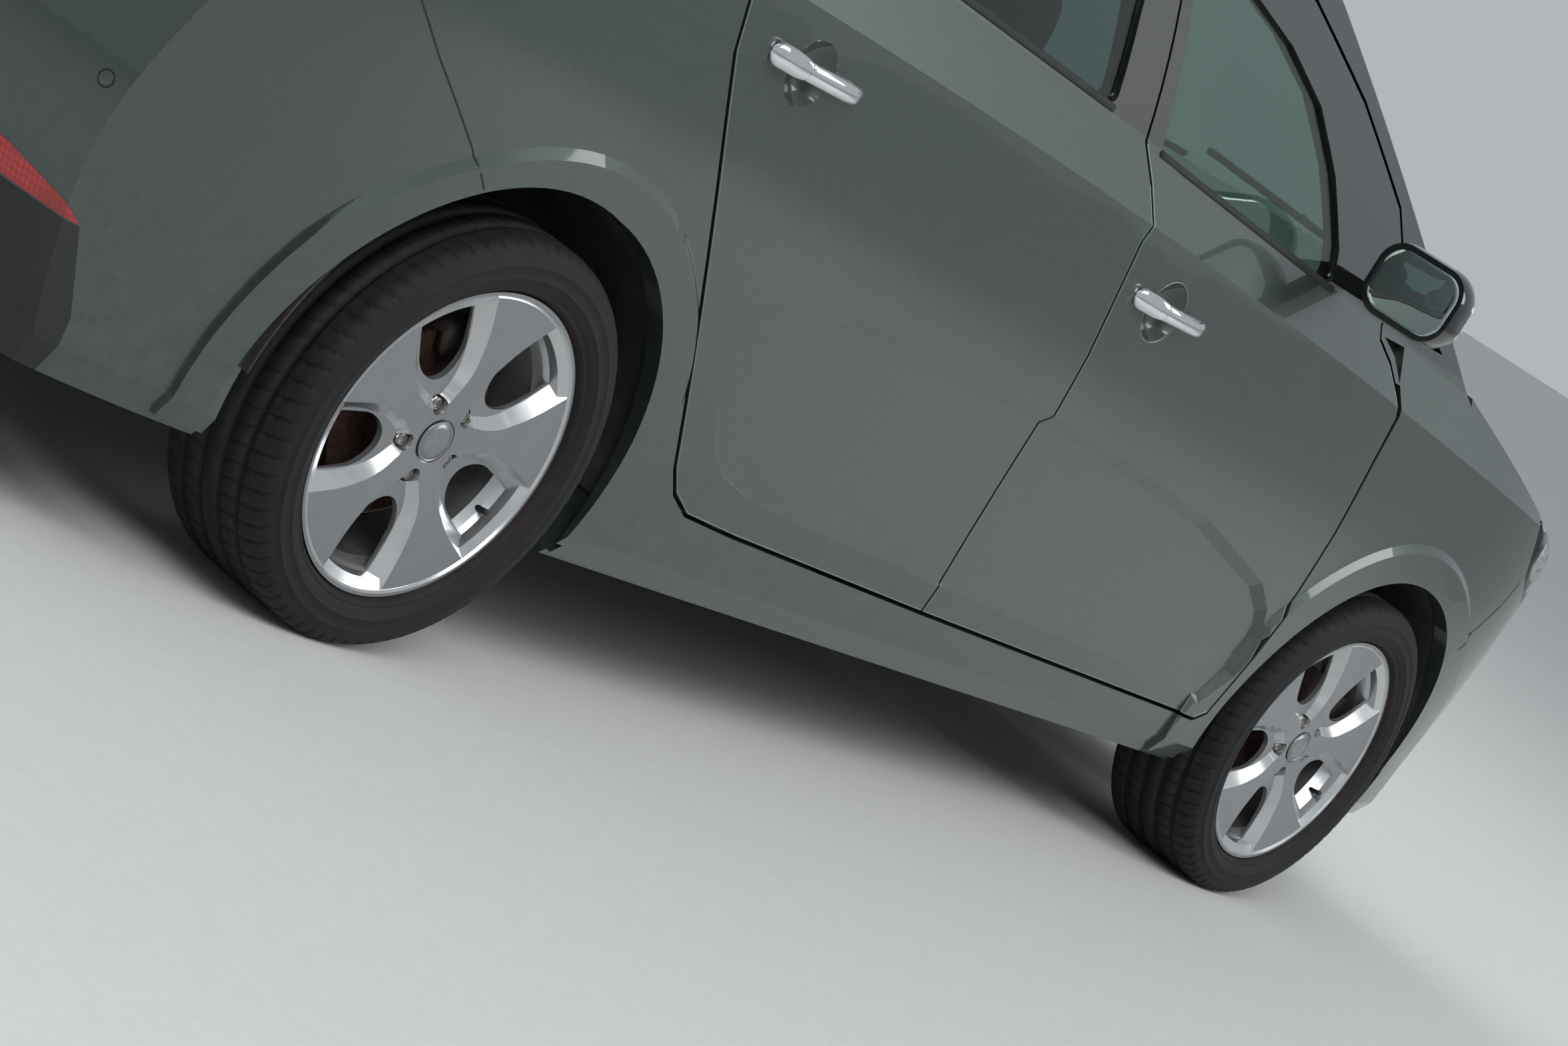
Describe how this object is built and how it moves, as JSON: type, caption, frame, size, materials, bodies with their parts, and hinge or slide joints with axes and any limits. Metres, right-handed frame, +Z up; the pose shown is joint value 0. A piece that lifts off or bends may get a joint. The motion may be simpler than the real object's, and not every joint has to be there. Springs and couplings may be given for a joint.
{
  "type": "compact minivan",
  "caption": "Compact family minivan with opening doors, bonnet and tailgate, glazed cabin with seats, steered front wheels and alloy road wheels.",
  "frame": {"origin": "on the ground below the middle of the car's length and width", "axes": "+X forward, +Y to the left, +Z up"},
  "size_m": [4.5246, 2.2036, 1.6079],
  "materials": {
    "paint": "metallic gloss",
    "underbody": "satin",
    "black_plastic": "grained",
    "glass": "tinted",
    "lamp": "clear",
    "red_lamp": "clear red",
    "chrome": "polished",
    "alloy": "machined silver",
    "tyre": "rubber",
    "cast_iron": "rusty",
    "steel": "satin black",
    "trim": "soft",
    "fabric": "woven"
  },
  "bodies": {
    "body": {"side_frames": "paint", "roof_panel": "paint", "floor_pan": "underbody", "wheel_liners": "black_plastic", "front_wings": "paint", "front_bumper": "paint", "front_lamps": "lamp", "rear_bumper": "paint", "rear_lamps": "red_lamp", "windscreen": "glass", "quarter_glass": "glass", "cowl": "black_plastic", "dashboard": "trim", "front_seats": "fabric", "rear_seats": "fabric", "engine": "steel", "front_suspension": "steel", "rear_axle": "steel", "door_hinges": "steel", "tailgate_hinges": "steel", "grille": "black_plastic", "rear_cladding": "black_plastic"},
    "front_left_door": {"front_left_door": "paint", "front_left_glass": "glass", "front_left_handle": "chrome", "left_mirror": "black_plastic"},
    "front_right_door": {"front_right_door": "paint", "front_right_glass": "glass", "front_right_handle": "chrome", "right_mirror": "black_plastic"},
    "rear_left_door": {"rear_left_door": "paint", "rear_left_glass": "glass", "rear_left_handle": "chrome"},
    "rear_right_door": {"rear_right_door": "paint", "rear_right_glass": "glass", "rear_right_handle": "chrome"},
    "tailgate": {"tailgate": "paint", "tailgate_glass": "glass"},
    "bonnet": {"bonnet": "paint"},
    "left_knuckle": {"left_knuckle": "cast_iron"},
    "right_knuckle": {"right_knuckle": "cast_iron"},
    "front_left_wheel": {"front_left_wheel": "alloy", "front_left_tyre": "tyre", "front_left_brake_disc": "cast_iron"},
    "front_right_wheel": {"front_right_wheel": "alloy", "front_right_tyre": "tyre", "front_right_brake_disc": "cast_iron"},
    "rear_left_wheel": {"rear_left_wheel": "alloy", "rear_left_tyre": "tyre", "rear_left_brake_disc": "cast_iron"},
    "rear_right_wheel": {"rear_right_wheel": "alloy", "rear_right_tyre": "tyre", "rear_right_brake_disc": "cast_iron"},
    "steering_wheel": {"steering_wheel": "trim"}
  },
  "joints": [
    {"name": "front_left_door_hinge", "type": "hinge", "parent": "body", "child": "front_left_door", "pos_m": [0.88, 0.876, 0.8175], "axis": [0, 0, -1], "range_deg": [0, 68]},
    {"name": "front_right_door_hinge", "type": "hinge", "parent": "body", "child": "front_right_door", "pos_m": [0.88, -0.876, 0.8175], "axis": [0, 0, 1], "range_deg": [0, 68]},
    {"name": "rear_left_door_hinge", "type": "hinge", "parent": "body", "child": "rear_left_door", "pos_m": [-0.172, 0.878, 0.8175], "axis": [0, 0, -1], "range_deg": [0, 68]},
    {"name": "rear_right_door_hinge", "type": "hinge", "parent": "body", "child": "rear_right_door", "pos_m": [-0.172, -0.878, 0.8175], "axis": [0, 0, 1], "range_deg": [0, 68]},
    {"name": "tailgate_hinge", "type": "hinge", "parent": "body", "child": "tailgate", "pos_m": [-1.985, 0, 1.535], "axis": [0, 1, 0], "range_deg": [0, 85]},
    {"name": "bonnet_hinge", "type": "hinge", "parent": "body", "child": "bonnet", "pos_m": [1.458, 0, 0.985], "axis": [0, -1, 0], "range_deg": [0, 55]},
    {"name": "steer_right", "type": "hinge", "parent": "body", "child": "right_knuckle", "pos_m": [1.3625, -0.745, 0.184], "axis": [0, 0.2079, 0.9781], "range_deg": [-35, 35]},
    {"name": "steer_left", "type": "hinge", "parent": "body", "child": "left_knuckle", "pos_m": [1.3625, 0.745, 0.184], "axis": [0, -0.2079, 0.9781], "range_deg": [-35, 35]},
    {"name": "steering_wheel_turn", "type": "hinge", "parent": "body", "child": "steering_wheel", "pos_m": [0.6, 0.37, 0.95], "axis": [-0.9063, 0, 0.4226], "range_deg": [-530, 530]},
    {"name": "front_left_wheel_spin", "type": "hinge", "parent": "left_knuckle", "child": "front_left_wheel", "pos_m": [1.3625, 0.788, 0.317], "axis": [0, 1, 0], "continuous": true},
    {"name": "front_right_wheel_spin", "type": "hinge", "parent": "right_knuckle", "child": "front_right_wheel", "pos_m": [1.3625, -0.788, 0.317], "axis": [0, 1, 0], "continuous": true},
    {"name": "rear_left_wheel_spin", "type": "hinge", "parent": "body", "child": "rear_left_wheel", "pos_m": [-1.3875, 0.788, 0.317], "axis": [0, 1, 0], "continuous": true},
    {"name": "rear_right_wheel_spin", "type": "hinge", "parent": "body", "child": "rear_right_wheel", "pos_m": [-1.3875, -0.788, 0.317], "axis": [0, 1, 0], "continuous": true}
  ],
  "couplings": [
    {"joint": "steer_left", "follows": "steer_right", "ratio": 1},
    {"joint": "steering_wheel_turn", "follows": "steer_right", "ratio": 15}
  ]
}
